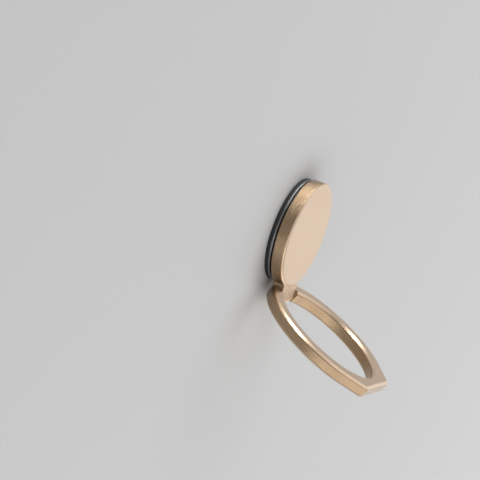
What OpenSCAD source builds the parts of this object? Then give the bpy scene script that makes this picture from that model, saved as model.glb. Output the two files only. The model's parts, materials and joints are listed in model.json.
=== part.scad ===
// Finger ring and stand for the back of a phone.
// Origin: centre of the adhesive face. +Z points away from the phone, and X runs along the hinge pin.
// The ring is drawn swung out from the cap, standing as a foot towards -Y and +Z.

/* [Base] */
// Thickness of the adhesive pad
pad_t = 0.8; // [0.4:0.05:1.5]
// Sheet thickness of the base plate
plate_t = 0.45; // [0.3:0.05:0.8]
// Diameter of the rivet's head
rivet_head_d = 5.2; // [4:0.1:8]
// Thickness of the rivet's head
rivet_head_t = 0.4; // [0.3:0.05:0.6]

/* [Swivel] */
// Diameter of the rivet's shank
shank_d = 2.5; // [1.5:0.1:3.2]
// How far the slip washer's rim stays inside the base plate's edge
slip_inset = 0.7; // [0.2:0.1:2]
// Thickness of the rotor plate
rotor_t = 0.6; // [0.4:0.05:1]
// Running clearance round the shank in the rotor plate, on the radius
shank_gap = 0.05; // [0.02:0.01:0.1]
// Outer diameter of the disc spring
spring_d = 6.8; // [5:0.1:9]
// Sheet thickness of the disc spring
spring_t = 0.2; // [0.1:0.05:0.3]
// Height of the disc spring's cone
spring_rise = 0.25; // [0.1:0.05:0.4]
// Diameter of the washer under the peened end
washer_d = 5.2; // [4.2:0.1:7]
// Thickness of that washer
washer_t = 0.3; // [0.2:0.05:0.5]
// Diameter of the peened end
peen_d = 3.8; // [3.4:0.1:5]
// Height of the peened end
peen_h = 0.35; // [0.25:0.05:0.6]
// Radius of the peened end's rounded rim
peen_edge_r = 0.2; // [0.1:0.05:0.2]

/* [Cap] */
// Outer diameter of the cap
cap_d = 24; // [22:0.1:30]
// Thickness of the cap's face
cap_face_t = 0.9; // [0.5:0.05:1.5]
// Thickness of the cap's side wall
cap_wall_t = 0.9; // [0.5:0.05:1.5]
// Radius of the rounded edge of the face
cap_edge_r = 0.6; // [0.2:0.05:0.8]

/* [Hinge] */
// Width of the hinge lug, along the pin
lug_w = 8.6; // [5:0.1:12]
// Metal of the lug above the friction sleeve
lug_wall = 0.35; // [0.2:0.05:0.6]
// Height of the lug's underside above the lower edge of the cap
lug_lift = 0.1; // [0.05:0.05:0.4]
// Radius of the lug's rounded end
lug_end_r = 1.2; // [0.4:0.1:1.5]
// How far the lug's end stays inside the ring's round edge
lug_inset = 0.1; // [0:0.05:0.8]
// Depth of the groove between cap and lug, below the cap's face
groove_d = 0.2; // [0.1:0.05:0.4]
// Width of the groove's floor beyond the cap
groove_w = 0.1; // [0.05:0.05:0.4]
// Diameter of the hinge pin
pin_d = 1.2; // [0.8:0.1:1.5]
// Length of pin held in the closed ear
pin_grip = 2.5; // [1.5:0.1:2.7]
// Wall of the friction sleeve
sleeve_wall = 0.22; // [0.15:0.01:0.3]
// Width of the slit in the friction sleeve
sleeve_slit = 0.3; // [0.1:0.05:0.5]

/* [Ring] */
// Width of the band, seen on its flat
band_w = 3.45; // [2.8:0.05:4.5]
// Thickness of the band
band_t = 2.9; // [2.4:0.1:3.2]
// Width of the outer bevel, seen on the band's flat
bevel_w = 0.6; // [0.2:0.05:0.8]
// Height of the outer bevel
bevel_h = 0.5; // [0.2:0.05:0.8]
// Bevel round the finger hole, towards the cap when the ring is folded in
hole_bevel = 0.55; // [0.2:0.05:0.8]
// Bevel round the finger hole on the other side
back_bevel = 0.3; // [0.1:0.05:0.8]
// Length of the flat foot, corner to corner
foot_l = 14.8; // [8:0.1:18]
// How much the flat foot is set in from the band's round edge
foot_cut = 0.6; // [0.3:0.05:1]
// Radius of the foot's two corners
foot_corner_r = 0.9; // [0.85:0.05:2]
// Angle of the ring above the base plate, as drawn
ring_tilt = 65.2; // [0:0.1:180]

/* [Clearances] */
// How far base plate and adhesive pad stay inside the cap's edge
base_inset = 0.3; // [0.1:0.05:1]
// Gap between cap and finger hole with the ring folded in
fold_gap = 0.75; // [0.3:0.05:1.5]
// How far the folded ring stands above the cap's face
fold_proud = 0.25; // [0:0.05:0.6]
// Gap between the swinging ears and the cap
swing_gap = 0.2; // [0.1:0.05:1]
// Gap between each ear and the side of the lug
ear_gap = 0.1; // [0.05:0.01:0.3]
// Running clearance between pin and sleeve, on the radius
pin_gap = 0.03; // [0.02:0.01:0.1]
// Free height between the base plate's dish and the rotor plate
dish_gap = 0.05; // [0.02:0.01:0.2]
// Free height between disc spring and rotor plate
spring_gap = 0.03; // [0.02:0.01:0.1]
// Free height above the peened end
peen_gap = 0.17; // [0.05:0.01:0.4]

/* [Hidden] */
$fn = 96;
// Cutters run this far past the faces that they cut
over = 1;

// Heights of the swivel's stack, from the adhesive face up
plate_z = pad_t;
slip_z = plate_z + plate_t;
slip_t = rivet_head_t + dish_gap;
rotor_z = slip_z + slip_t;
spring_z = rotor_z + rotor_t + spring_gap;
washer_z = spring_z + spring_t + spring_rise;
peen_z = washer_z + washer_t;
ceiling_z = peen_z + peen_h + peen_gap;
face_z = ceiling_z + cap_face_t;

// Radii round the swivel axis
shank_r = shank_d / 2;
cap_r = cap_d / 2;
plate_r = cap_r - base_inset;
cavity_r = cap_r - cap_wall_t;
hole_r = cap_r + fold_gap;
band_r = hole_r + band_w;

// Dish of the base plate: its wall slopes at 45 degrees and keeps the sheet's thickness
dish_side_gap = 0.1;
dish_r = rivet_head_d / 2 + dish_side_gap;
dish_shift = plate_t * tan(22.5);
slip_hole_gap = 0.3;
slip_hole_r = dish_r + rivet_head_t + dish_shift + slip_hole_gap;

// Hinge: the axis is set back until the corners of the ears swing clear of the cap
slot_w = lug_w + 2 * ear_gap;
cap_at_ear = sqrt(cap_r * cap_r - slot_w * slot_w / 4) + swing_gap;
band_at_ear = sqrt(band_r * band_r - slot_w * slot_w / 4);
hinge_y = (pow(band_at_ear, 2) + pow(band_t / 2, 2) - pow(cap_at_ear, 2))
          / (2 * (band_at_ear - cap_at_ear));
hinge_z = face_z + fold_proud - band_t / 2;
pin_r = pin_d / 2;
sleeve_r = pin_r + pin_gap;
seat_r = sleeve_r + sleeve_wall;
lug_r = band_r - lug_inset;
lug_z = rotor_z + lug_lift;
lug_top_z = hinge_z + seat_r + lug_wall;
groove_z = face_z - groove_d;

// Foot: a flat on the far side of the band, joined to the round by two tangent flanks
foot_y = band_r - foot_cut;
foot_x = foot_l / 2;
flank_angle = atan2(foot_x, foot_y) + acos(band_r / norm([foot_x, foot_y]));
corner_y = foot_y - foot_corner_r;
corner_x = (band_r - foot_corner_r - corner_y * cos(flank_angle)) / sin(flank_angle);
flank_l = corner_y * sin(flank_angle) - corner_x * cos(flank_angle);

// Flat disc with a hole
module washer_solid(outer_r, inner_r, z0, thickness) {
    translate([0, 0, z0])
        difference() {
            cylinder(r = outer_r, h = thickness);
            translate([0, 0, -over])
                cylinder(r = inner_r, h = thickness + 2 * over);
        }
}

module adhesive_pad() {
    color("#1b1b1c")
        cylinder(r = plate_r, h = pad_t);
}

// Stamped disc with a dish in its centre that takes the rivet's head
module base_plate() {
    color("#8f9091")
        translate([0, 0, plate_z])
            rotate_extrude()
                polygon([
                    [shank_r, rivet_head_t],
                    [dish_r, rivet_head_t],
                    [dish_r + rivet_head_t, 0],
                    [plate_r, 0],
                    [plate_r, plate_t],
                    [dish_r + rivet_head_t + dish_shift, plate_t],
                    [dish_r + dish_shift, rivet_head_t + plate_t],
                    [shank_r, rivet_head_t + plate_t]
                ]);
}

// Flat head below, shank through the stack, peened end with a rounded rim on top
module swivel_rivet() {
    color("#b4b6b8")
        rotate_extrude()
            union() {
                translate([0, plate_z])
                    square([rivet_head_d / 2, rivet_head_t]);
                translate([0, plate_z])
                    square([shank_r, peen_z - plate_z]);
                translate([0, peen_z])
                    rounded_profile(peen_d / 2, peen_h, peen_edge_r);
            }
}

module slip_washer() {
    color("#202021")
        washer_solid(plate_r - slip_inset, slip_hole_r, slip_z, slip_t);
}

module rotor_plate() {
    color("#9a9c9e")
        washer_solid(cavity_r, shank_r + shank_gap, rotor_z, rotor_t);
}

// Conical spring washer, rim down on the rotor plate
module disc_spring() {
    color("#a7a9ac")
        translate([0, 0, spring_z])
            rotate_extrude()
                polygon([
                    [spring_d / 2, 0],
                    [spring_d / 2, spring_t],
                    [shank_r + shank_gap, spring_t + spring_rise],
                    [shank_r + shank_gap, spring_rise]
                ]);
}

module rivet_washer() {
    color("#b4b6b8")
        washer_solid(washer_d / 2, shank_r, washer_z, washer_t);
}

// Half section from the axis out to r, with its top outer corner rounded
module rounded_profile(r, h, round_r) {
    square([r - round_r, h]);
    square([r, h - round_r]);
    translate([r - round_r, h - round_r])
        intersection() {
            circle(r = round_r);
            square(round_r);
        }
}

// Rod along X, centred on the hinge axis
module hinge_rod(r, l) {
    translate([0, -hinge_y, hinge_z])
        rotate([0, 90, 0])
            cylinder(r = r, h = l, center = true);
}

// Hinge lug: a tab that leaves the cap at a groove and ends rounded, in line with the folded ring
module hinge_lug() {
    lug_h = lug_top_z - lug_z;
    floor_h = groove_z - lug_z;
    intersection() {
        translate([0, 0, lug_z])
            rotate_extrude()
                difference() {
                    rounded_profile(lug_r, lug_h, lug_end_r);
                    polygon([
                        [0, floor_h],
                        [cap_r + groove_w, floor_h],
                        [cap_r + groove_w + lug_h - floor_h + over, lug_h + over],
                        [0, lug_h + over]
                    ]);
                }
        translate([-lug_w / 2, -lug_r - over, lug_z])
            cube([lug_w, lug_r + over, lug_h]);
    }
}

// Round cap, hollow below, cast in one with the hinge lug
module cap() {
    color("#d6bda4")
        difference() {
            union() {
                translate([0, 0, rotor_z])
                    rotate_extrude()
                        rounded_profile(cap_r, face_z - rotor_z, cap_edge_r);
                hinge_lug();
            }
            translate([0, 0, rotor_z - over])
                cylinder(r = cavity_r, h = ceiling_z - rotor_z + over);
            hinge_rod(seat_r, lug_w + 2 * over);
        }
}

// Split sleeve in the lug, with its slit underneath
module hinge_sleeve() {
    color("#77797c")
        difference() {
            hinge_rod(seat_r, lug_w);
            hinge_rod(sleeve_r, lug_w + 2 * over);
            translate([-lug_w / 2 - over, -hinge_y - sleeve_slit / 2, hinge_z - seat_r - over])
                cube([lug_w + 2 * over, sleeve_slit, seat_r + over]);
        }
}

// Places what is drawn round the finger hole's centre at its place on the hinge.
// There the hinge axis lies at +Y, and +Z is the face that shows when the ring stands out.
module on_hinge() {
    translate([0, -hinge_y, hinge_z])
        rotate([-ring_tilt, 0, 0])
            translate([0, -hinge_y, 0])
                children();
}

// Half section of the band from the axis out to r, with both outer corners bevelled
module band_section(r) {
    polygon([
        [0, -band_t / 2],
        [r - bevel_w, -band_t / 2],
        [r, bevel_h - band_t / 2],
        [r, band_t / 2 - bevel_h],
        [r - bevel_w, band_t / 2],
        [0, band_t / 2]
    ]);
}

// Straight bevelled run of the band: its outer face stands r from the centre and is l long
module band_run(r, l) {
    rotate([90, 0, 90])
        linear_extrude(height = l)
            mirror([1, 0])
                band_section(r);
}

// Disc with a flat foot towards -Y, bevelled all round
module ring_blank() {
    difference() {
        rotate_extrude()
            band_section(band_r);
        translate([-band_r, -band_r - over, -band_t / 2 - over])
            cube([2 * band_r, band_r + over - corner_y, band_t + 2 * over]);
    }
    translate([-corner_x, 0, 0])
        band_run(foot_y, 2 * corner_x);
    for (side = [0, 1])
        mirror([side, 0, 0]) {
            rotate([0, 0, flank_angle])
                translate([-flank_l, 0, 0])
                    band_run(band_r, flank_l);
            translate([corner_x, -corner_y, 0])
                rotate_extrude()
                    band_section(foot_corner_r);
        }
}

// Finger hole with a bevel on each side
module finger_hole() {
    rotate_extrude()
        polygon([
            [0, -band_t / 2 - over],
            [hole_r + back_bevel + over, -band_t / 2 - over],
            [hole_r, back_bevel - band_t / 2],
            [hole_r, band_t / 2 - hole_bevel],
            [hole_r + hole_bevel + over, band_t / 2 + over],
            [0, band_t / 2 + over]
        ]);
}

// Pin in ring coordinates: blind in the ear at -X, through the ear at +X
module pin_blank(r) {
    translate([-slot_w / 2 - pin_grip, hinge_y, 0])
        rotate([0, 90, 0])
            cylinder(r = r, h = slot_w / 2 + pin_grip + band_r);
}

// Dressed flush with the band's round edge at its open end
module hinge_pin() {
    color("#c9b199")
        on_hinge()
            intersection() {
                pin_blank(pin_r);
                cylinder(r = band_r, h = band_t, center = true);
            }
}

module ring() {
    color("#d9c0a6")
        on_hinge()
            difference() {
                ring_blank();
                finger_hole();
                translate([-slot_w / 2, 0, -band_t / 2 - over])
                    cube([slot_w, band_r + over, band_t + 2 * over]);
                pin_blank(pin_r);
            }
}

adhesive_pad();
base_plate();
swivel_rivet();
slip_washer();
rotor_plate();
disc_spring();
rivet_washer();
cap();
hinge_sleeve();
hinge_pin();
ring();
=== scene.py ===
"""Models the visible pieces of a phone ring holder round its frame, with their finishes and a studio."""
import json
import math

import bmesh
import bpy
from bpy.props import FloatProperty, FloatVectorProperty, IntProperty, PointerProperty
from mathutils import Matrix, Vector


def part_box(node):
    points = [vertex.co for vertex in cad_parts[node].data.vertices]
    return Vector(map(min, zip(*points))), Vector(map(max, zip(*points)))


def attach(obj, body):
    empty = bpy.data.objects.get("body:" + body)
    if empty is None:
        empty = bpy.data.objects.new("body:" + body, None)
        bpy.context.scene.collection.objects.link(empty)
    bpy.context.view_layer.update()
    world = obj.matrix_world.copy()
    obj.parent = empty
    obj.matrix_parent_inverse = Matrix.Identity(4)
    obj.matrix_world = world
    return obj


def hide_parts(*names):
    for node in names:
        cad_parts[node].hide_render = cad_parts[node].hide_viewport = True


bl_info = {
    "name": "Phone ring holder",
    "version": (1, 0, 0),
    "blender": (4, 5, 0),
    "location": "3D View > Sidebar > Ring Holder",
    "description": "Models the ring, cap, base plate and pad of a ring holder, with finishes and a studio",
    "category": "Mesh",
}

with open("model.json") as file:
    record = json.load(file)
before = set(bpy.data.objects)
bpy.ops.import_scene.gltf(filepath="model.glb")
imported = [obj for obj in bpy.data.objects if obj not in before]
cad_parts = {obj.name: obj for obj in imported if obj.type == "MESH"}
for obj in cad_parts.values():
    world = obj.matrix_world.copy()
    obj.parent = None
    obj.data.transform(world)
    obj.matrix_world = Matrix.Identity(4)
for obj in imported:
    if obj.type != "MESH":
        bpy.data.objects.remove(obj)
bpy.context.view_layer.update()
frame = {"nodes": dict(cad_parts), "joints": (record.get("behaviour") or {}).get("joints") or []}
MM = 0.001

JOINTS = {joint["name"]: joint for joint in frame["joints"]}
SWIVEL_Z = JOINTS["cap_swivel"]["pos_m"][2]
HINGE = Vector(JOINTS["ring_fold"]["pos_m"])
RING_TILT = math.radians(JOINTS["ring_fold"]["range_deg"][1])
BAND_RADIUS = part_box("ring")[1].x
CAP_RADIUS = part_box("cap")[1].x
FACE_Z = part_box("cap")[1].z
PLATE_LOW, PLATE_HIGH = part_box("base_plate")
PAD_LOW, PAD_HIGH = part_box("adhesive_pad")
# Ring coordinates: the finger hole's centre at the origin, the hinge towards +Y, the shown flat towards +Z
RING_PLACE = (
    Matrix.Translation(HINGE)
    @ Matrix.Rotation(-RING_TILT, 4, "X")
    @ Matrix.Translation((0, HINGE.y, 0))
)
# How far cutters run past the faces that they cut
OVER = 1 * MM
# How close two places count as one
NEAR = 0.001 * MM
# Points closer than this are merged once a piece has all its cuts
DOUBLE = 0.004 * MM
# Steps round a large circle, and round a small bore
CIRCLE_STEPS = 256
BORE_STEPS = 64
# Edges from this angle on stay sharp: on cast pieces, on stamped sheet and on foam
CAST_SHARP = math.radians(28)
SHEET_SHARP = math.radians(30)
FOAM_SHARP = math.radians(40)
# Stretches that draw tool marks out: round the piece's Z, round it for longer, and along X
ROUND_MARKS = (0.2, 0.2, 1)
LONG_ROUND_MARKS = (0.05, 0.05, 1)
DRAWN_MARKS = (0.05, 1, 1)
# Height of the marks on smooth steel and on blasted flats
SMOOTH_RELIEF = 0.002 * MM
BLASTED_RELIEF = 0.003 * MM
# The floor's side, and how far it lies under the pad
FLOOR_SIZE = 4
FLOOR_GAP = 0.02 * MM
SENSOR_MM = 36
# Where the lamps point
LAMP_AIM = Vector((0, -7 * MM, 10 * MM))
# Lamps: degrees round from +X, degrees above the floor, distance, width and height in metres, radiance
LAMPS = {
    "side_softbox": (-10, 18, 0.6, 0.66, 0.4, 0.85),
    "window": (88, 1.5, 0.9, 1.3, 0.15, 17.0),
    "high_softbox": (58, 44, 0.7, 0.9, 0.5, 0.95),
    "front_softbox": (-92, 38, 0.7, 1.7, 0.45, 1.3),
    "fill_softbox": (-152, 13, 0.7, 0.4, 0.34, 1.2),
    "overhead_softbox": (-120, 80, 0.7, 0.7, 0.7, 0.75),
}


class RingSizes(bpy.types.PropertyGroup):
    """Sizes of the finger ring"""

    hole_radius: FloatProperty(
        name="Hole radius", description="Radius of the finger hole",
        default=12.75 * MM, unit="LENGTH"
    )
    thickness: FloatProperty(
        name="Thickness", description="Thickness of the band",
        default=2.9 * MM, unit="LENGTH"
    )
    bevel_width: FloatProperty(
        name="Bevel width", description="Width of the outer bevel on the flat",
        default=0.6 * MM, unit="LENGTH"
    )
    bevel_height: FloatProperty(
        name="Bevel height", description="Height of the outer bevel",
        default=0.5 * MM, unit="LENGTH"
    )
    hole_bevel: FloatProperty(
        name="Hole bevel", description="Bevel of the hole on the shown flat",
        default=0.55 * MM, unit="LENGTH"
    )
    back_bevel: FloatProperty(
        name="Back bevel", description="Bevel of the hole on the other flat",
        default=0.3 * MM, unit="LENGTH"
    )
    foot_length: FloatProperty(
        name="Foot length", description="Length of the flat foot",
        default=14.8 * MM, unit="LENGTH"
    )
    foot_inset: FloatProperty(
        name="Foot inset", description="How far the foot lies inside the round edge",
        default=0.6 * MM, unit="LENGTH"
    )
    foot_corner: FloatProperty(
        name="Foot corner", description="Radius of the foot's corners",
        default=1.1 * MM, unit="LENGTH"
    )
    slot_width: FloatProperty(
        name="Slot width", description="Width of the slot between the ears",
        default=8.8 * MM, unit="LENGTH"
    )
    pin_radius: FloatProperty(
        name="Pin radius", description="Radius of the hole for the hinge pin",
        default=0.6 * MM, unit="LENGTH"
    )
    edge_radius: FloatProperty(
        name="Edge radius", description="Rounding of the band's tumbled edges",
        default=0.13 * MM, unit="LENGTH"
    )


class CapSizes(bpy.types.PropertyGroup):
    """Sizes of the cap and its hinge lug"""

    face_thickness: FloatProperty(
        name="Face thickness", description="Thickness of the face",
        default=0.9 * MM, unit="LENGTH"
    )
    wall: FloatProperty(
        name="Wall", description="Thickness of the side wall",
        default=0.9 * MM, unit="LENGTH"
    )
    rim_radius: FloatProperty(
        name="Rim radius", description="Rounding of the face's edge",
        default=0.6 * MM, unit="LENGTH"
    )
    lower_radius: FloatProperty(
        name="Lower radius", description="Rounding of the wall's lower edge",
        default=0.22 * MM, unit="LENGTH"
    )
    lug_width: FloatProperty(
        name="Lug width", description="Width of the hinge lug along the pin",
        default=8.6 * MM, unit="LENGTH"
    )
    lug_lift: FloatProperty(
        name="Lug lift", description="Height of the lug's underside above the cap's",
        default=0.1 * MM, unit="LENGTH"
    )
    lug_inset: FloatProperty(
        name="Lug inset", description="How far the lug ends inside the ring's edge",
        default=0.1 * MM, unit="LENGTH"
    )
    lug_end_radius: FloatProperty(
        name="Lug end radius", description="Rounding of the lug's end",
        default=1.2 * MM, unit="LENGTH"
    )
    groove_depth: FloatProperty(
        name="Groove depth", description="Depth of the groove before the lug",
        default=0.2 * MM, unit="LENGTH"
    )
    groove_width: FloatProperty(
        name="Groove width", description="Width of the groove's floor",
        default=0.1 * MM, unit="LENGTH"
    )
    sleeve_radius: FloatProperty(
        name="Sleeve radius", description="Radius of the sleeve's seat",
        default=0.85 * MM, unit="LENGTH"
    )
    edge_radius: FloatProperty(
        name="Edge radius", description="Rounding of the lug's side edges",
        default=0.1 * MM, unit="LENGTH"
    )


class BaseSizes(bpy.types.PropertyGroup):
    """Sizes of the stamped base plate and the adhesive pad"""

    sheet: FloatProperty(
        name="Sheet", description="Sheet thickness of the base plate",
        default=0.45 * MM, unit="LENGTH"
    )
    dish_radius: FloatProperty(
        name="Dish radius", description="Radius of the dish's flat floor",
        default=2.7 * MM, unit="LENGTH"
    )
    dish_depth: FloatProperty(
        name="Dish depth", description="Depth of the dish for the rivet's head",
        default=0.4 * MM, unit="LENGTH"
    )
    shank_radius: FloatProperty(
        name="Shank radius", description="Radius of the rivet's shank",
        default=1.25 * MM, unit="LENGTH"
    )
    die_roll: FloatProperty(
        name="Die roll", description="Rounding of the stamped edge",
        default=0.1 * MM, unit="LENGTH"
    )
    pad_crown: FloatProperty(
        name="Pad crown", description="How far the foam's side stands out in its middle",
        default=0.09 * MM, unit="LENGTH"
    )
    pad_levels: IntProperty(
        name="Pad levels", description="Rings of points up the side of the foam",
        default=7, min=1
    )


class Finishes(bpy.types.PropertyGroup):
    """Colours and roughness of the finishes"""

    champagne: FloatVectorProperty(
        name="Champagne", description="Anodised colour of faces, flats and bevels",
        default=(0.675, 0.508, 0.362), size=3, subtype="COLOR", min=0, max=1
    )
    # The turned colour is the champagne darkened: a painted shade that stands in for the dark surroundings
    # the turned walls reflect
    turned: FloatVectorProperty(
        name="Turned", description="Darker anodised colour of the turned walls",
        default=(0.39, 0.275, 0.172), size=3, subtype="COLOR", min=0, max=1
    )
    # The lug colour is the champagne made paler: a painted light on the hinge lug
    lug: FloatVectorProperty(
        name="Lug", description="Anodised colour of the cast hinge lug",
        default=(0.78, 0.6, 0.44), size=3, subtype="COLOR", min=0, max=1
    )
    steel: FloatVectorProperty(
        name="Steel", description="Colour of bare sheet steel",
        default=(0.24, 0.24, 0.243), size=3, subtype="COLOR", min=0, max=1
    )
    foam: FloatVectorProperty(
        name="Foam", description="Colour of the foam pad",
        default=(0.016, 0.016, 0.017), size=3, subtype="COLOR", min=0, max=1
    )
    slip: FloatVectorProperty(
        name="Slip washer", description="Colour of the slip washer",
        default=(0.012, 0.012, 0.013), size=3, subtype="COLOR", min=0, max=1
    )
    blasted_roughness: FloatProperty(
        name="Blasted roughness", description="Roughness of faces and flats",
        default=0.34, min=0, max=1
    )
    turned_roughness: FloatProperty(
        name="Turned roughness", description="Roughness of the turned walls",
        default=0.27, min=0, max=1
    )
    cut_roughness: FloatProperty(
        name="Cut roughness", description="Roughness of the bright cut bevels",
        default=0.3, min=0, max=1
    )


class StudioSettings(bpy.types.PropertyGroup):
    """Camera, floor and the room's own light"""

    lens: FloatProperty(
        name="Lens", description="Focal length on a 36 mm wide sensor, in mm", default=185.28
    )
    camera_place: FloatVectorProperty(
        name="Camera place", description="Where the camera stands",
        default=(-0.5061, 0.07469, 0.16221), size=3, subtype="XYZ", unit="LENGTH"
    )
    camera_right: FloatVectorProperty(
        name="Camera right", description="Direction to the picture's right",
        default=(0.3504, 0.3147, 0.8822), size=3, subtype="DIRECTION"
    )
    camera_up: FloatVectorProperty(
        name="Camera up", description="Direction to the picture's top",
        default=(0.0319, 0.9373, -0.3470), size=3, subtype="DIRECTION"
    )
    floor_tone: FloatProperty(
        name="Floor tone", description="Reflectance of the floor",
        default=0.62, min=0, max=1, subtype="FACTOR"
    )
    room_tone: FloatProperty(
        name="Room tone", description="Brightness of the room between the lamps",
        default=0.28, min=0
    )


def wake(piece):
    """Selects this piece alone and makes it the active one."""
    bpy.ops.object.select_all(action="DESELECT")
    piece.select_set(True)
    bpy.context.view_layer.objects.active = piece


def named(name):
    """Names the primitive that was just added."""
    piece = bpy.context.object
    piece.name = name
    piece.data.name = name
    return piece


def edit(piece):
    """Opens the piece in edit mode."""
    wake(piece)
    bpy.ops.object.mode_set(mode="EDIT")


def done():
    """Back to object mode."""
    bpy.ops.object.mode_set(mode="OBJECT")


def choose(piece, kind, test):
    """In edit mode, selects only those corners, edges or faces that pass the test."""
    bpy.ops.mesh.select_all(action="DESELECT")
    bpy.ops.mesh.select_mode(type=kind)
    mesh = bmesh.from_edit_mesh(piece.data)
    items = {"VERT": mesh.verts, "EDGE": mesh.edges, "FACE": mesh.faces}[kind]
    found = [item for item in items if test(item)]
    if not found:
        raise RuntimeError(f"nothing to select on {piece.name}")
    for item in found:
        item.select_set(True)
    mesh.select_flush_mode()
    bmesh.update_edit_mesh(piece.data)


def facing(direction, least=0.99):
    """Test for faces whose normal points in a direction."""
    direction = Vector(direction)
    return lambda face: face.normal.dot(direction) > least


def level_edge(edge):
    """Test for edges whose ends lie at the same height."""
    return abs(edge.verts[0].co.z - edge.verts[1].co.z) < NEAR


def on_rim(radius, height=None):
    """Test for level edges that lie on a circle of this radius, at any height or at one."""
    def test(edge):
        round_edge = all(abs(v.co.xy.length - radius) < NEAR for v in edge.verts)
        at_height = height is None or abs(edge.verts[0].co.z - height) < NEAR
        return level_edge(edge) and round_edge and at_height
    return test


def on_sides(half_width):
    """Test for edges in either of the two planes at this distance to the left and right of the middle."""
    return lambda edge: all(abs(abs(v.co.x) - half_width) < NEAR for v in edge.verts)


def extrude(offset):
    """Extrudes what is selected by an offset."""
    bpy.ops.mesh.extrude_region_move(TRANSFORM_OT_translate={"value": offset})


def cut(piece, cutter, operation="DIFFERENCE"):
    """Cuts the cutter from the piece, joins it or keeps what both fill, and removes the cutter."""
    wake(piece)
    bpy.ops.object.modifier_add(type="BOOLEAN")
    modifier = piece.modifiers[-1]
    modifier.operation = operation
    modifier.solver = "EXACT"
    modifier.object = cutter
    bpy.ops.object.modifier_apply(modifier=modifier.name)
    bpy.data.objects.remove(cutter)


def shade(piece, sharp_from):
    """Shades the piece smooth, but for the edges from this angle on."""
    wake(piece)
    bpy.ops.object.shade_smooth_by_angle(angle=sharp_from)


def polish(piece):
    """Merges the points that the cuts left double, keeps sharp edges sharp and shades flats flat."""
    edit(piece)
    bpy.ops.mesh.select_all(action="SELECT")
    bpy.ops.mesh.remove_doubles(threshold=DOUBLE)
    done()
    shade(piece, CAST_SHARP)
    bpy.ops.object.modifier_add(type="WEIGHTED_NORMAL")
    modifier = piece.modifiers[-1]
    modifier.keep_sharp = True
    bpy.ops.object.modifier_apply(modifier=modifier.name)


def settle(piece, place=None):
    """Moves the piece to its place, where one is given, and writes where it stands into its mesh."""
    wake(piece)
    if place is not None:
        piece.matrix_world = place
    bpy.ops.object.transform_apply(location=True, rotation=True, scale=True)


def turned_disc(name, low_radius, high_radius, low, high):
    """Upright cylinder or cone between two heights."""
    bpy.ops.object.select_all(action="DESELECT")
    bpy.ops.mesh.primitive_cone_add(
        vertices=CIRCLE_STEPS, radius1=low_radius, radius2=high_radius,
        depth=high - low, location=(0, 0, (low + high) / 2)
    )
    piece = named(name)
    settle(piece)
    return piece


def rod(name, radius, left, right, place):
    """Cylinder along X between two ends, moved to its place."""
    bpy.ops.object.select_all(action="DESELECT")
    bpy.ops.mesh.primitive_cylinder_add(
        vertices=BORE_STEPS, radius=radius, depth=right - left,
        location=((left + right) / 2, 0, 0), rotation=(0, math.pi / 2, 0)
    )
    piece = named(name)
    settle(piece)
    settle(piece, place)
    return piece


def block(name, low, high):
    """Cuboid between two corners."""
    low, high = Vector(low), Vector(high)
    bpy.ops.object.select_all(action="DESELECT")
    bpy.ops.mesh.primitive_cube_add(size=1, location=(low + high) / 2)
    piece = named(name)
    piece.scale = high - low
    settle(piece)
    return piece


def round_edges(piece, test, radius, segments):
    """Rounds the edges that pass the test."""
    edit(piece)
    choose(piece, "EDGE", test)
    bpy.ops.mesh.bevel(affect="EDGES", offset=radius, segments=segments, profile=0.5)
    done()


def shader(name, metallic, roughness):
    """New material with its Principled shader: (material, nodes, links, shader)."""
    material = bpy.data.materials.new(name)
    material.use_nodes = True
    nodes, links = material.node_tree.nodes, material.node_tree.links
    principled = nodes["Principled BSDF"]
    principled.inputs["Metallic"].default_value = metallic
    principled.inputs["Roughness"].default_value = roughness
    return material, nodes, links, principled


def math_node(nodes, operation, *values):
    """Math node with these values; a None leaves its socket to a link."""
    node = nodes.new("ShaderNodeMath")
    node.operation = operation
    for place, value in enumerate(values):
        if value is not None:
            node.inputs[place].default_value = value
    return node


def surface_group(name, defaults):
    """Empty node group of a surface effect: (group, entry node, exit node).

    It takes a position and its own values, and puts out a tone near 1, a roughness and a height.
    """
    group = bpy.data.node_groups.new(name, "ShaderNodeTree")
    group.interface.new_socket(name="Vector", in_out="INPUT", socket_type="NodeSocketVector")
    for label, value in defaults.items():
        socket = group.interface.new_socket(name=label, in_out="INPUT", socket_type="NodeSocketFloat")
        socket.default_value = value
    for label in ("Tone", "Roughness", "Height"):
        group.interface.new_socket(name=label, in_out="OUTPUT", socket_type="NodeSocketFloat")
    return group, group.nodes.new("NodeGroupInput"), group.nodes.new("NodeGroupOutput")


def spread_about(group, source, spread, middle=None):
    """Socket that swings round the middle, or round 1, by the spread times the source less a half."""
    centred = math_node(group.nodes, "SUBTRACT", None, 0.5)
    group.links.new(source, centred.inputs[0])
    swing = math_node(group.nodes, "MULTIPLY_ADD", None, None, 1)
    group.links.new(centred.outputs[0], swing.inputs[0])
    group.links.new(spread, swing.inputs[1])
    if middle is not None:
        group.links.new(middle, swing.inputs[2])
    return swing.outputs[0]


def noise_of(group, entry, scale_socket, detail):
    """Noise on the group's position, at a scale from one of the group's own sockets."""
    noise = group.nodes.new("ShaderNodeTexNoise")
    noise.inputs["Detail"].default_value = detail
    group.links.new(entry.outputs["Vector"], noise.inputs["Vector"])
    group.links.new(entry.outputs[scale_socket], noise.inputs["Scale"])
    return noise.outputs["Fac"]


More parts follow.
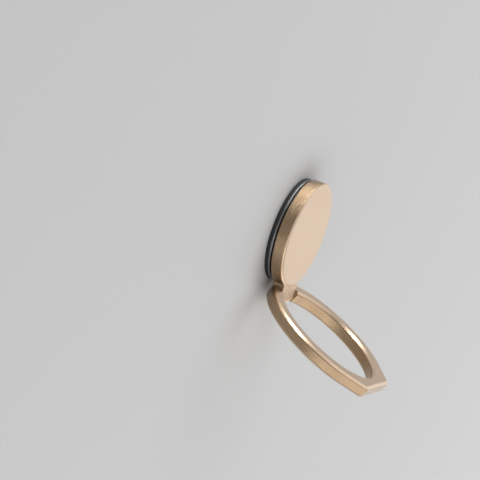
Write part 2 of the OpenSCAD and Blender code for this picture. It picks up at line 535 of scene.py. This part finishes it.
def grain_group():
    """Blasted grain: fine pits over slow drifts of tone and roughness."""
    found = bpy.data.node_groups.get("blasted grain")
    if found:
        return found
    group, entry, leave = surface_group(
        "blasted grain",
        {
            "Grains per metre": 4200.0, "Drifts per metre": 170.0, "Tone spread": 0.16,
            "Roughness": 0.35, "Roughness spread": 0.12,
        },
    )
    fine = noise_of(group, entry, "Grains per metre", detail=3)
    drift = noise_of(group, entry, "Drifts per metre", detail=3)
    fine_share = 0.65
    blend = math_node(group.nodes, "MULTIPLY_ADD", None, fine_share, None)
    group.links.new(fine, blend.inputs[0])
    drift_part = math_node(group.nodes, "MULTIPLY", None, 1 - fine_share)
    group.links.new(drift, drift_part.inputs[0])
    group.links.new(drift_part.outputs[0], blend.inputs[2])
    tone = spread_about(group, blend.outputs[0], entry.outputs["Tone spread"])
    rough = spread_about(group, drift, entry.outputs["Roughness spread"], entry.outputs["Roughness"])
    group.links.new(tone, leave.inputs["Tone"])
    group.links.new(rough, leave.inputs["Roughness"])
    group.links.new(fine, leave.inputs["Height"])
    return group


def groove_group():
    """Tool marks over slow bands of tone; the material's stretch draws them out into grooves."""
    found = bpy.data.node_groups.get("tool marks")
    if found:
        return found
    group, entry, leave = surface_group(
        "tool marks",
        {
            "Marks per metre": 16000.0, "Bands per metre": 1500.0, "Tone spread": 0.12,
            "Roughness": 0.3, "Roughness spread": 0.1,
        },
    )
    marks = noise_of(group, entry, "Marks per metre", detail=2)
    bands = noise_of(group, entry, "Bands per metre", detail=2)
    tone = spread_about(group, bands, entry.outputs["Tone spread"])
    rough = spread_about(group, marks, entry.outputs["Roughness spread"], entry.outputs["Roughness"])
    group.links.new(tone, leave.inputs["Tone"])
    group.links.new(rough, leave.inputs["Roughness"])
    group.links.new(marks, leave.inputs["Height"])
    return group


def finish(name, colour, effect, relief, values, metallic=1.0, turn=0.0, stretch=(1, 1, 1)):
    """Material whose colour, roughness and relief come from a surface effect on object coordinates.

    The values go into the effect's own sockets. The pattern is turned about X, and then squeezed along
    each axis by the stretch, so that a small number draws it out.
    """
    material, nodes, links, principled = shader(name, metallic, values["Roughness"])
    place = nodes.new("ShaderNodeTexCoord")
    turned = nodes.new("ShaderNodeMapping")
    turned.inputs["Rotation"].default_value = (turn, 0, 0)
    links.new(place.outputs["Object"], turned.inputs["Vector"])
    stretched = nodes.new("ShaderNodeMapping")
    stretched.inputs["Scale"].default_value = stretch
    links.new(turned.outputs["Vector"], stretched.inputs["Vector"])
    surface = nodes.new("ShaderNodeGroup")
    surface.node_tree = effect
    for label, value in values.items():
        surface.inputs[label].default_value = value
    links.new(stretched.outputs["Vector"], surface.inputs["Vector"])
    tint = nodes.new("ShaderNodeMix")
    tint.data_type = "RGBA"
    tint.blend_type = "MULTIPLY"
    tint.inputs["Factor"].default_value = 1
    tint.inputs["A"].default_value = (*colour, 1)
    links.new(surface.outputs["Tone"], tint.inputs["B"])
    links.new(tint.outputs["Result"], principled.inputs["Base Color"])
    links.new(surface.outputs["Roughness"], principled.inputs["Roughness"])
    bump = nodes.new("ShaderNodeBump")
    bump.inputs["Strength"].default_value = 1
    bump.inputs["Distance"].default_value = relief
    links.new(surface.outputs["Height"], bump.inputs["Height"])
    links.new(bump.outputs["Normal"], principled.inputs["Normal"])
    return material


def blasted_champagne(name, looks):
    """Blasted and anodised face or flat."""
    return finish(
        name, looks.champagne, grain_group(), BLASTED_RELIEF, {"Roughness": looks.blasted_roughness}
    )


def cut_champagne(name, looks, turn):
    """Bright cut bevel, its tool marks running round the piece."""
    return finish(
        name, looks.champagne, groove_group(), 0.026 * MM,
        {"Roughness": looks.cut_roughness, "Tone spread": 0.06}, turn=turn, stretch=ROUND_MARKS
    )


def shaded_wall_champagne(name, looks, relief, turn=0.0):
    """Turned wall in the darker turned colour, a painted shade; its tool marks run round the piece."""
    return finish(
        name, looks.turned, groove_group(), relief,
        {"Roughness": looks.turned_roughness}, turn=turn, stretch=ROUND_MARKS
    )


def lit_cast_champagne(name, looks):
    """Rougher skin of the casting, left as it comes from the mould, in the paler lug colour: a painted
    light.
    """
    return finish(
        name, looks.lug, grain_group(), 0.012 * MM,
        {"Grains per metre": 6000.0, "Tone spread": 0.3, "Roughness": 0.5}
    )


def wear(piece, *materials):
    """Gives the piece these materials, the first all over."""
    piece.data.materials.clear()
    for material in materials:
        piece.data.materials.append(material)


def finish_faces(piece, index, test):
    """Gives the faces that pass the test the piece's material of this index."""
    for face in piece.data.polygons:
        if test(face):
            face.material_index = index


def foot_outline(ring, sizes):
    """In edit mode, opens the circle at the foot and closes it with two tangent flanks and a foot."""
    foot_x = sizes.foot_length / 2
    foot_y = BAND_RADIUS - sizes.foot_inset
    flank = math.atan2(foot_x, foot_y) + math.acos(BAND_RADIUS / math.hypot(foot_x, foot_y))
    half_step = math.pi / CIRCLE_STEPS
    choose(ring, "VERT", lambda v: math.atan2(abs(v.co.x), -v.co.y) < flank + half_step)
    bpy.ops.mesh.delete(type="VERT")
    for side in (-1, 1):
        ends = [v for v in bmesh.from_edit_mesh(ring.data).verts if len(v.link_edges) == 1]
        last = min(ends, key=lambda v: -side * v.co.x).co.copy()
        tangent = Vector((side * BAND_RADIUS * math.sin(flank), -BAND_RADIUS * math.cos(flank), last.z))
        corner = Vector((side * foot_x, -foot_y, last.z))
        for point in (tangent, corner):
            choose(ring, "VERT", lambda v: (v.co - last).length < NEAR)
            extrude(point - last)
            last = point
    choose(ring, "VERT", lambda v: v.co.y < NEAR - foot_y)
    bpy.ops.mesh.edge_face_add()
    choose(ring, "VERT", lambda v: v.co.y < NEAR - foot_y)
    bpy.ops.mesh.bevel(
        affect="VERTICES", offset=sizes.foot_corner * math.tan(flank / 2), segments=12, profile=0.5
    )


def solid_band(sizes):
    """Bevelled band in ring coordinates, with its foot but without holes or slot."""
    half = sizes.thickness / 2
    bpy.ops.object.select_all(action="DESELECT")
    bpy.ops.mesh.primitive_circle_add(
        vertices=CIRCLE_STEPS, radius=BAND_RADIUS, fill_type="NOTHING",
        location=(0, 0, sizes.bevel_height - half)
    )
    ring = named("ring_band")
    settle(ring)
    edit(ring)
    foot_outline(ring, sizes)
    bpy.ops.mesh.select_all(action="SELECT")
    bpy.ops.mesh.edge_face_add()
    extrude((0, 0, sizes.thickness - 2 * sizes.bevel_height))
    bpy.ops.mesh.select_all(action="SELECT")
    bpy.ops.mesh.normals_make_consistent(inside=False)
    for side in (-1, 1):
        choose(ring, "FACE", facing((0, 0, side)))
        bpy.ops.mesh.inset(thickness=sizes.bevel_width, depth=sizes.bevel_height)
    done()
    round_edges(ring, level_edge, sizes.edge_radius, segments=3)
    return ring


def finger_hole(sizes):
    """Cutter of the finger hole: a cylinder that widens to a bevel at either flat."""
    half = sizes.thickness / 2
    hole = turned_disc(
        "hole", sizes.hole_radius, sizes.hole_radius, sizes.back_bevel - half, half - sizes.hole_bevel
    )
    edit(hole)
    for side, bevel in ((1, sizes.hole_bevel), (-1, sizes.back_bevel)):
        choose(hole, "FACE", facing((0, 0, side)))
        extrude((0, 0, side * (bevel + OVER)))
        growth = (sizes.hole_radius + bevel + OVER) / sizes.hole_radius
        bpy.ops.transform.resize(value=(growth, growth, 1))
    done()
    round_edges(hole, on_rim(sizes.hole_radius), sizes.edge_radius, segments=3)
    return hole


class RINGHOLDER_OT_ring(bpy.types.Operator):
    """Model the finger ring: bevelled band, flat foot, slot with two ears"""

    bl_idname = "ringholder.ring"
    bl_label = "Finger ring"

    def execute(self, context):
        sizes = context.scene.ring_sizes
        looks = context.scene.finishes
        ring = solid_band(sizes)
        cut(ring, finger_hole(sizes))
        slot = sizes.slot_width / 2
        depth = sizes.thickness / 2 + OVER
        cut(ring, block("slot", (-slot, 0, -depth), (slot, BAND_RADIUS + OVER, depth)))
        pin_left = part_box("hinge_pin")[0].x
        pin_place = Matrix.Translation((0, -HINGE.y, 0))
        cut(ring, rod("bore", sizes.pin_radius, pin_left, BAND_RADIUS + OVER, pin_place))
        polish(ring)
        settle(ring, RING_PLACE)
        wear(
            ring,
            blasted_champagne("champagne_flat", looks),
            cut_champagne("champagne_bevel", looks, RING_TILT),
            shaded_wall_champagne("champagne_wall_painted_shade", looks, 0.02 * MM, RING_TILT),
        )
        # Cosine to the flat: walls lie below the lower value, bevels between the two. The walls take the
        # darker turned colour, a painted shade
        wall_most, bevel_most = 0.5, 0.93
        flat = RING_PLACE.to_3x3() @ Vector((0, 0, 1))
        finish_faces(ring, 1, lambda f: wall_most < abs(f.normal.dot(flat)) < bevel_most)
        finish_faces(ring, 2, lambda f: abs(f.normal.dot(flat)) <= wall_most)
        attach(ring, "finger_ring")
        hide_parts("ring")
        return {"FINISHED"}


def hinge_lug(sizes):
    """Tab that leaves the cap at a groove and ends rounded, in line with the folded ring."""
    low = SWIVEL_Z + sizes.lug_lift
    end = BAND_RADIUS - sizes.lug_inset
    lug = turned_disc("hinge_lug", end, end, low, FACE_Z)
    round_edges(lug, on_rim(end, FACE_Z), sizes.lug_end_radius, segments=14)
    groove_z = FACE_Z - sizes.groove_depth
    groove_r = CAP_RADIUS + sizes.groove_width
    rise = sizes.groove_depth + OVER
    cut(lug, turned_disc("groove", groove_r, groove_r + rise, groove_z, groove_z + rise))
    side = sizes.lug_width / 2
    cut(lug, block("sides", (-side, -end - OVER, low - OVER), (side, 0, FACE_Z + OVER)), "INTERSECT")
    round_edges(lug, on_sides(side), sizes.edge_radius, segments=3)
    return lug


class RINGHOLDER_OT_cap(bpy.types.Operator):
    """Model the round cap with its hinge lug"""

    bl_idname = "ringholder.cap"
    bl_label = "Cap"

    def execute(self, context):
        sizes = context.scene.cap_sizes
        looks = context.scene.finishes
        cap = turned_disc("cap_shell", CAP_RADIUS, CAP_RADIUS, SWIVEL_Z, FACE_Z)
        round_edges(cap, on_rim(CAP_RADIUS, FACE_Z), sizes.rim_radius, segments=10)
        round_edges(cap, on_rim(CAP_RADIUS, SWIVEL_Z), sizes.lower_radius, segments=4)
        cut(cap, hinge_lug(sizes), "UNION")
        inner = CAP_RADIUS - sizes.wall
        ceiling = FACE_Z - sizes.face_thickness
        cut(cap, turned_disc("cavity", inner, inner, SWIVEL_Z - OVER, ceiling))
        reach = sizes.lug_width
        cut(cap, rod("seat", sizes.sleeve_radius, -reach, reach, Matrix.Translation(HINGE)))
        polish(cap)
        wear(
            cap,
            blasted_champagne("champagne_face", looks),
            shaded_wall_champagne("champagne_turned_painted_shade", looks, 0.075 * MM),
            lit_cast_champagne("champagne_lug_painted_light", looks),
        )
        # Cosine to the axis or to the pin: a wall lies below the one, a lug's side above the other. Walls
        # and the lug's sides take the darker turned colour, a painted shade; the rest of the lug takes the
        # paler lug colour, a painted light
        wall_most, side_least = 0.5, 0.9
        lug_start = CAP_RADIUS + sizes.groove_width
        finish_faces(cap, 2, lambda f: f.center.xy.length > lug_start)
        finish_faces(
            cap, 1, lambda f: abs(f.normal.z) < wall_most and f.center.xy.length < CAP_RADIUS + NEAR
        )
        finish_faces(
            cap, 1, lambda f: abs(f.normal.x) > side_least and f.center.xy.length > lug_start
        )
        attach(cap, "swivel_cap")
        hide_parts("cap")
        return {"FINISHED"}


def stamped_plate(sizes):
    """Sheet disc with a dish in its centre and a hole for the rivet."""
    radius = PLATE_HIGH.x
    bpy.ops.object.select_all(action="DESELECT")
    bpy.ops.mesh.primitive_circle_add(
        vertices=CIRCLE_STEPS, radius=radius, fill_type="NGON", location=(0, 0, PLATE_LOW.z)
    )
    plate = named("plate_disc")
    settle(plate)
    edit(plate)
    bpy.ops.mesh.select_all(action="SELECT")
    bpy.ops.mesh.inset(thickness=radius - sizes.dish_radius - sizes.dish_depth, depth=0)
    bpy.ops.mesh.inset(thickness=sizes.dish_depth, depth=sizes.dish_depth)
    bpy.ops.mesh.inset(thickness=sizes.dish_radius - sizes.shank_radius, depth=0)
    bpy.ops.mesh.delete(type="FACE")
    done()
    bpy.ops.object.modifier_add(type="SOLIDIFY")
    modifier = plate.modifiers[-1]
    modifier.thickness = sizes.sheet
    modifier.offset = 1
    modifier.use_even_offset = True
    bpy.ops.object.modifier_apply(modifier=modifier.name)
    edit(plate)
    bpy.ops.mesh.select_all(action="SELECT")
    bpy.ops.mesh.normals_make_consistent(inside=False)
    done()
    round_edges(plate, on_rim(radius), sizes.die_roll, segments=4)
    shade(plate, SHEET_SHARP)
    return plate


def foam_pad(sizes):
    """Foam disc whose side bulges a little between its two faces."""
    radius = PAD_HIGH.x - sizes.pad_crown
    low, high = PAD_LOW.z, PAD_HIGH.z
    pad = turned_disc("foam_pad", radius, radius, low, high)
    edit(pad)
    choose(pad, "EDGE", lambda e: not level_edge(e))
    bpy.ops.mesh.subdivide(number_cuts=sizes.pad_levels)
    for level in range(1, sizes.pad_levels + 1):
        part = level / (sizes.pad_levels + 1)
        height = low + (high - low) * part
        swell = 1 + sizes.pad_crown / radius * math.sin(math.pi * part) ** 0.5
        choose(pad, "VERT", lambda v: abs(v.co.z - height) < NEAR)
        bpy.ops.transform.resize(value=(swell, swell, 1), center_override=(0, 0, height))
    done()
    shade(pad, FOAM_SHARP)
    return pad


def foam_material(looks):
    """Closed-cell foam: small pits and a dull, slightly uneven black."""
    return finish(
        "foam_cells", looks.foam, grain_group(), 0.03 * MM,
        {"Grains per metre": 5200.0, "Tone spread": 0.9, "Roughness": 0.82, "Roughness spread": 0.25},
        metallic=0.0
    )


def film_material(looks):
    """Adhesive face: a smooth tacky film with the fine fibres of its carrier, drawn out along Y."""
    return finish(
        "adhesive_film", looks.foam, groove_group(), 0.004 * MM,
        {"Marks per metre": 2600.0, "Bands per metre": 260.0, "Tone spread": 0.7,
         "Roughness": 0.32, "Roughness spread": 0.25},
        metallic=0.0, stretch=(1, 0.12, 1)
    )


class RINGHOLDER_OT_base(bpy.types.Operator):
    """Model the stamped base plate with its dish, and the foam pad under it"""

    bl_idname = "ringholder.base"
    bl_label = "Base plate and pad"

    def execute(self, context):
        sizes = context.scene.base_sizes
        looks = context.scene.finishes
        plate = stamped_plate(sizes)
        wear(
            plate,
            finish(
                "rolled_steel", looks.steel, grain_group(), SMOOTH_RELIEF,
                {"Roughness": 0.3}, stretch=(0.3, 1, 1)
            ),
            finish(
                "sheared_edge", looks.steel, groove_group(), 0.05 * MM,
                {"Roughness": 0.3, "Tone spread": 0.3}, stretch=(0.04, 0.04, 1)
            ),
        )
        edge_start = PLATE_HIGH.x - 1.5 * sizes.die_roll
        finish_faces(plate, 1, lambda f: f.center.xy.length > edge_start)
        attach(plate, "base")
        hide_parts("base_plate")

        pad = foam_pad(sizes)
        wear(pad, foam_material(looks), film_material(looks))
        finish_faces(pad, 1, facing((0, 0, -1)))
        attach(pad, "base")
        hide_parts("adhesive_pad")
        return {"FINISHED"}


class RINGHOLDER_OT_inner(bpy.types.Operator):
    """Finish the swivel's inner pieces and the hinge pin, which keep their exact shapes"""

    bl_idname = "ringholder.inner"
    bl_label = "Inner pieces"

    def execute(self, context):
        looks = context.scene.finishes
        nodes = frame["nodes"]
        sheet = finish("stamped_steel", looks.steel, grain_group(), SMOOTH_RELIEF, {"Roughness": 0.3})
        for name in ("rotor_plate", "disc_spring", "rivet_washer"):
            wear(nodes[name], sheet)
        wear(nodes["swivel_rivet"], finish(
            "headed_steel", looks.steel, groove_group(), SMOOTH_RELIEF,
            {"Roughness": 0.26}, stretch=LONG_ROUND_MARKS
        ))
        wear(nodes["hinge_sleeve"], finish(
            "drawn_steel", looks.steel, groove_group(), SMOOTH_RELIEF,
            {"Roughness": 0.32}, stretch=DRAWN_MARKS
        ))
        wear(nodes["hinge_pin"], finish(
            "champagne_pin", looks.champagne, groove_group(), SMOOTH_RELIEF,
            {"Roughness": 0.28}, stretch=DRAWN_MARKS
        ))
        wear(nodes["slip_washer"], finish(
            "slip_plastic", looks.slip, grain_group(), 0.004 * MM,
            {"Roughness": 0.48, "Tone spread": 0.5}, metallic=0.0
        ))
        return {"FINISHED"}


def compass(azimuth, elevation):
    """Unit direction from degrees round from +X and degrees above the floor."""
    turn, rise = math.radians(azimuth), math.radians(elevation)
    return Vector((math.cos(turn) * math.cos(rise), math.sin(turn) * math.cos(rise), math.sin(rise)))


def softbox(name, azimuth, elevation, distance, wide, high, radiance):
    """Rectangular lamp that faces the object. Its radiance is what a mirror would show of it."""
    lamp = bpy.data.lights.new(name, "AREA")
    lamp.shape = "RECTANGLE"
    lamp.size = wide
    lamp.size_y = high
    lamp.energy = radiance * math.pi * wide * high
    holder = bpy.data.objects.new(name, lamp)
    bpy.context.scene.collection.objects.link(holder)
    direction = compass(azimuth, elevation)
    holder.location = LAMP_AIM + direction * distance
    holder.rotation_mode = "QUATERNION"
    holder.rotation_quaternion = direction.to_track_quat("Z", "Y")


def lay_floor(settings):
    """Pale floor just under the pad."""
    bpy.ops.object.select_all(action="DESELECT")
    bpy.ops.mesh.primitive_plane_add(size=FLOOR_SIZE, location=(0, 0, -FLOOR_GAP))
    floor = named("floor")
    settle(floor)
    material, nodes, links, principled = shader("pale_floor", 0.0, 0.7)
    tone = settings.floor_tone
    principled.inputs["Base Color"].default_value = (tone, tone, tone, 1)
    wear(floor, material)


def place_camera(settings):
    """Camera at the photograph's viewing angle."""
    eye = bpy.data.cameras.new("camera")
    camera = bpy.data.objects.new("camera", eye)
    bpy.context.scene.collection.objects.link(camera)
    bpy.context.scene.camera = camera
    eye.sensor_width = SENSOR_MM
    eye.lens = settings.lens
    eye.clip_start = 0.05
    eye.clip_end = 10
    right = Vector(settings.camera_right).normalized()
    up = Vector(settings.camera_up)
    up = (up - up.dot(right) * right).normalized()
    turn = Matrix((right, up, right.cross(up))).transposed()
    camera.matrix_world = Matrix.Translation(settings.camera_place) @ turn.to_4x4()


class RINGHOLDER_OT_studio(bpy.types.Operator):
    """Set up the floor, lamps, world and camera"""

    bl_idname = "ringholder.studio"
    bl_label = "Studio"

    def execute(self, context):
        settings = context.scene.studio
        scene = context.scene
        scene.view_settings.view_transform = "Standard"
        lay_floor(settings)
        place_camera(settings)
        for name, lamp in LAMPS.items():
            softbox(name, *lamp)
        world = bpy.data.worlds.new("studio room")
        scene.world = world
        world.use_nodes = True
        room = settings.room_tone
        world.node_tree.nodes["Background"].inputs["Color"].default_value = (room, room, room, 1)
        return {"FINISHED"}


class RINGHOLDER_PT_panel(bpy.types.Panel):
    """Lists the ring holder's pieces and its studio"""

    bl_idname = "RINGHOLDER_PT_panel"
    bl_label = "Ring Holder"
    bl_space_type = "VIEW_3D"
    bl_region_type = "UI"
    bl_category = "Ring Holder"

    def draw(self, context):
        for operator in OPERATORS:
            self.layout.operator(operator.bl_idname)


GROUPS = {
    "ring_sizes": RingSizes,
    "cap_sizes": CapSizes,
    "base_sizes": BaseSizes,
    "finishes": Finishes,
    "studio": StudioSettings,
}
OPERATORS = (
    RINGHOLDER_OT_studio,
    RINGHOLDER_OT_base,
    RINGHOLDER_OT_cap,
    RINGHOLDER_OT_ring,
    RINGHOLDER_OT_inner,
)


def register():
    for name, group in GROUPS.items():
        bpy.utils.register_class(group)
        setattr(bpy.types.Scene, name, PointerProperty(type=group))
    for operator in OPERATORS:
        bpy.utils.register_class(operator)
    bpy.utils.register_class(RINGHOLDER_PT_panel)


def unregister():
    bpy.utils.unregister_class(RINGHOLDER_PT_panel)
    for operator in reversed(OPERATORS):
        bpy.utils.unregister_class(operator)
    for name, group in reversed(GROUPS.items()):
        delattr(bpy.types.Scene, name)
        bpy.utils.unregister_class(group)


def main():
    """Registers the add-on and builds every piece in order."""
    register()
    bpy.ops.ringholder.studio()
    bpy.ops.ringholder.base()
    bpy.ops.ringholder.cap()
    bpy.ops.ringholder.ring()
    bpy.ops.ringholder.inner()


if __name__ == "__main__":
    main()
